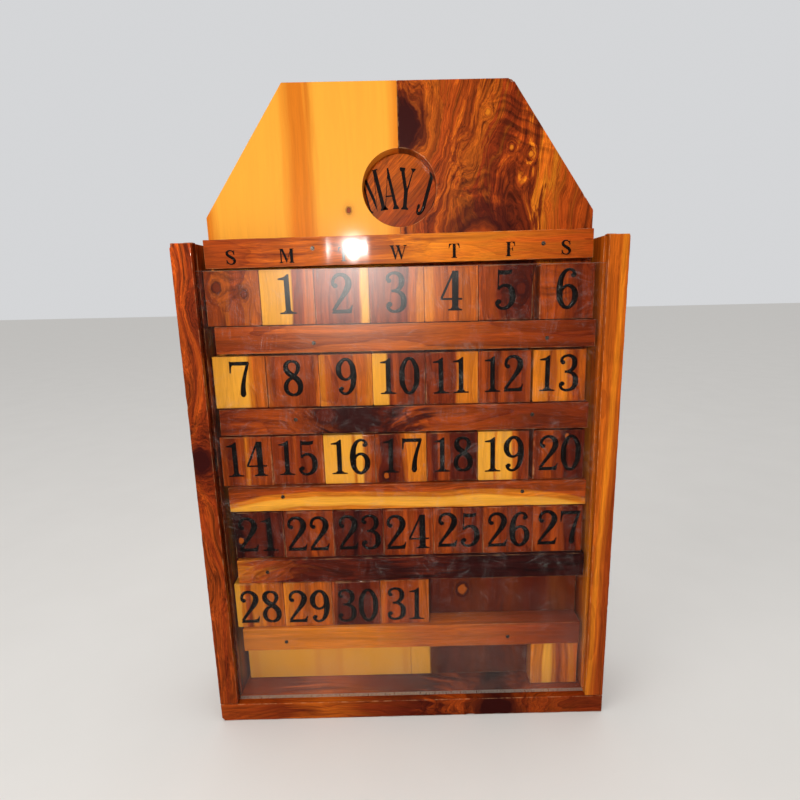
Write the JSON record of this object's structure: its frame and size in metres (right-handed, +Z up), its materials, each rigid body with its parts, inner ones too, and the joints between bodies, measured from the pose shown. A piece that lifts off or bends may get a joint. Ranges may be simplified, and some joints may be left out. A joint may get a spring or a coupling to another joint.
{
  "type": "perpetual tile desk calendar",
  "caption": "Shallow cedar case with rails of loose numbered tiles, a weekday strip, a month wheel behind a round window and a lift-out clear cover.",
  "frame": {"origin": "middle of the footprint, on the surface that the case stands on", "axes": "+Z up, +Y from the front towards the back, +X to the right seen from the front"},
  "size_m": [0.2032, 0.0446, 0.3149],
  "materials": {
    "case_cedar": "glossy lacquer",
    "sapwood_cedar": "glossy lacquer",
    "heartwood_cedar": "glossy lacquer",
    "strip_cedar": "glossy lacquer",
    "rail_cedar": "glossy lacquer",
    "wheel_cedar": "satin",
    "tile_cedar": "satin lacquer",
    "clear_sheet": "clear acrylic, lightly scratched",
    "steel": "dulled",
    "ink": "matt black ink"
  },
  "bodies": {
    "case": {"base_board": "case_cedar", "left_side_board": "case_cedar", "right_side_board": "case_cedar", "back_panel_left": "sapwood_cedar", "back_panel_right": "heartwood_cedar", "weekday_strip": "strip_cedar", "wheel_screw": "steel", "wheel_washer": "steel", "rail_brads": "steel", "strip_brads": "steel", "left_side_nails": "steel", "right_side_nails": "steel", "base_nails": "steel", "rail_1": "rail_cedar", "rail_2": "rail_cedar", "rail_3": "rail_cedar", "rail_4": "rail_cedar", "rail_5": "rail_cedar"},
    "cover": {"front_cover": "clear_sheet"},
    "wheel": {"month_wheel": "wheel_cedar"},
    "blank_tile_2_body": {"blank_tile_2": "tile_cedar"},
    "tile_31_body": {"tile_31": "tile_cedar"},
    "tile_06_body": {"tile_06": "tile_cedar"},
    "blank_tile_1_body": {"blank_tile_1": "tile_cedar"},
    "tile_01_body": {"tile_01": "tile_cedar"},
    "tile_02_body": {"tile_02": "tile_cedar"},
    "tile_03_body": {"tile_03": "tile_cedar"},
    "tile_04_body": {"tile_04": "tile_cedar"},
    "tile_05_body": {"tile_05": "tile_cedar"},
    "tile_07_body": {"tile_07": "tile_cedar"},
    "tile_08_body": {"tile_08": "tile_cedar"},
    "tile_09_body": {"tile_09": "tile_cedar"},
    "tile_10_body": {"tile_10": "tile_cedar"},
    "tile_11_body": {"tile_11": "tile_cedar"},
    "tile_12_body": {"tile_12": "tile_cedar"},
    "tile_13_body": {"tile_13": "tile_cedar"},
    "tile_14_body": {"tile_14": "tile_cedar"},
    "tile_15_body": {"tile_15": "tile_cedar"},
    "tile_16_body": {"tile_16": "tile_cedar"},
    "tile_17_body": {"tile_17": "tile_cedar"},
    "tile_18_body": {"tile_18": "tile_cedar"},
    "tile_19_body": {"tile_19": "tile_cedar"},
    "tile_20_body": {"tile_20": "tile_cedar"},
    "tile_21_body": {"tile_21": "tile_cedar"},
    "tile_22_body": {"tile_22": "tile_cedar"},
    "tile_23_body": {"tile_23": "tile_cedar"},
    "tile_24_body": {"tile_24": "tile_cedar"},
    "tile_25_body": {"tile_25": "tile_cedar"},
    "tile_26_body": {"tile_26": "tile_cedar"},
    "tile_27_body": {"tile_27": "tile_cedar"},
    "tile_28_body": {"tile_28": "tile_cedar"},
    "tile_29_body": {"tile_29": "tile_cedar"},
    "tile_30_body": {"tile_30": "tile_cedar"}
  },
  "joints": [
    {"name": "cover_slide", "type": "slide", "parent": "case", "child": "cover", "axis": [0, 0, 1], "range_m": [0, 0.2345]},
    {"name": "wheel_turn", "type": "hinge", "parent": "case", "child": "wheel", "pos_m": [-0.002, 0.0103, 0.222], "axis": [0, 1, 0], "continuous": true},
    {"name": "blank_tile_2_slide", "type": "slide", "parent": "case", "child": "blank_tile_2_body", "axis": [-1, 0, 0], "range_m": [0, 0.1565]},
    {"name": "tile_31_slide", "type": "slide", "parent": "case", "child": "tile_31_body", "axis": [1, 0, 0], "range_m": [0, 0.0813]},
    {"name": "tile_06_slide", "type": "slide", "parent": "case", "child": "tile_06_body", "axis": [-1, 0, 0], "range_m": [0, 0.0029]},
    {"name": "blank_tile_1_slide", "type": "slide", "parent": "case", "child": "blank_tile_1_body", "axis": [0, -1, 0], "range_m": [0, 0.0037]},
    {"name": "tile_01_slide", "type": "slide", "parent": "case", "child": "tile_01_body", "axis": [0, -1, 0], "range_m": [0, 0.0037]},
    {"name": "tile_02_slide", "type": "slide", "parent": "case", "child": "tile_02_body", "axis": [0, -1, 0], "range_m": [0, 0.0037]},
    {"name": "tile_03_slide", "type": "slide", "parent": "case", "child": "tile_03_body", "axis": [0, -1, 0], "range_m": [0, 0.0037]},
    {"name": "tile_04_slide", "type": "slide", "parent": "case", "child": "tile_04_body", "axis": [0, -1, 0], "range_m": [0, 0.0037]},
    {"name": "tile_05_slide", "type": "slide", "parent": "case", "child": "tile_05_body", "axis": [0, -1, 0], "range_m": [0, 0.0037]},
    {"name": "tile_07_slide", "type": "slide", "parent": "case", "child": "tile_07_body", "axis": [0, -1, 0], "range_m": [0, 0.0037]},
    {"name": "tile_08_slide", "type": "slide", "parent": "case", "child": "tile_08_body", "axis": [0, -1, 0], "range_m": [0, 0.0037]},
    {"name": "tile_09_slide", "type": "slide", "parent": "case", "child": "tile_09_body", "axis": [0, -1, 0], "range_m": [0, 0.0037]},
    {"name": "tile_10_slide", "type": "slide", "parent": "case", "child": "tile_10_body", "axis": [0, -1, 0], "range_m": [0, 0.0037]},
    {"name": "tile_11_slide", "type": "slide", "parent": "case", "child": "tile_11_body", "axis": [0, -1, 0], "range_m": [0, 0.0037]},
    {"name": "tile_12_slide", "type": "slide", "parent": "case", "child": "tile_12_body", "axis": [0, -1, 0], "range_m": [0, 0.0037]},
    {"name": "tile_13_slide", "type": "slide", "parent": "case", "child": "tile_13_body", "axis": [0, -1, 0], "range_m": [0, 0.0037]},
    {"name": "tile_14_slide", "type": "slide", "parent": "case", "child": "tile_14_body", "axis": [0, -1, 0], "range_m": [0, 0.0037]},
    {"name": "tile_15_slide", "type": "slide", "parent": "case", "child": "tile_15_body", "axis": [0, -1, 0], "range_m": [0, 0.0037]},
    {"name": "tile_16_slide", "type": "slide", "parent": "case", "child": "tile_16_body", "axis": [0, -1, 0], "range_m": [0, 0.0037]},
    {"name": "tile_17_slide", "type": "slide", "parent": "case", "child": "tile_17_body", "axis": [0, -1, 0], "range_m": [0, 0.0037]},
    {"name": "tile_18_slide", "type": "slide", "parent": "case", "child": "tile_18_body", "axis": [0, -1, 0], "range_m": [0, 0.0037]},
    {"name": "tile_19_slide", "type": "slide", "parent": "case", "child": "tile_19_body", "axis": [0, -1, 0], "range_m": [0, 0.0037]},
    {"name": "tile_20_slide", "type": "slide", "parent": "case", "child": "tile_20_body", "axis": [0, -1, 0], "range_m": [0, 0.0037]},
    {"name": "tile_21_slide", "type": "slide", "parent": "case", "child": "tile_21_body", "axis": [0, -1, 0], "range_m": [0, 0.0037]},
    {"name": "tile_22_slide", "type": "slide", "parent": "case", "child": "tile_22_body", "axis": [0, -1, 0], "range_m": [0, 0.0037]},
    {"name": "tile_23_slide", "type": "slide", "parent": "case", "child": "tile_23_body", "axis": [0, -1, 0], "range_m": [0, 0.0037]},
    {"name": "tile_24_slide", "type": "slide", "parent": "case", "child": "tile_24_body", "axis": [0, -1, 0], "range_m": [0, 0.0037]},
    {"name": "tile_25_slide", "type": "slide", "parent": "case", "child": "tile_25_body", "axis": [0, -1, 0], "range_m": [0, 0.0037]},
    {"name": "tile_26_slide", "type": "slide", "parent": "case", "child": "tile_26_body", "axis": [0, -1, 0], "range_m": [0, 0.0037]},
    {"name": "tile_27_slide", "type": "slide", "parent": "case", "child": "tile_27_body", "axis": [0, -1, 0], "range_m": [0, 0.0037]},
    {"name": "tile_28_slide", "type": "slide", "parent": "case", "child": "tile_28_body", "axis": [0, -1, 0], "range_m": [0, 0.0037]},
    {"name": "tile_29_slide", "type": "slide", "parent": "case", "child": "tile_29_body", "axis": [0, -1, 0], "range_m": [0, 0.0037]},
    {"name": "tile_30_slide", "type": "slide", "parent": "case", "child": "tile_30_body", "axis": [0, -1, 0], "range_m": [0, 0.0037]}
  ]
}
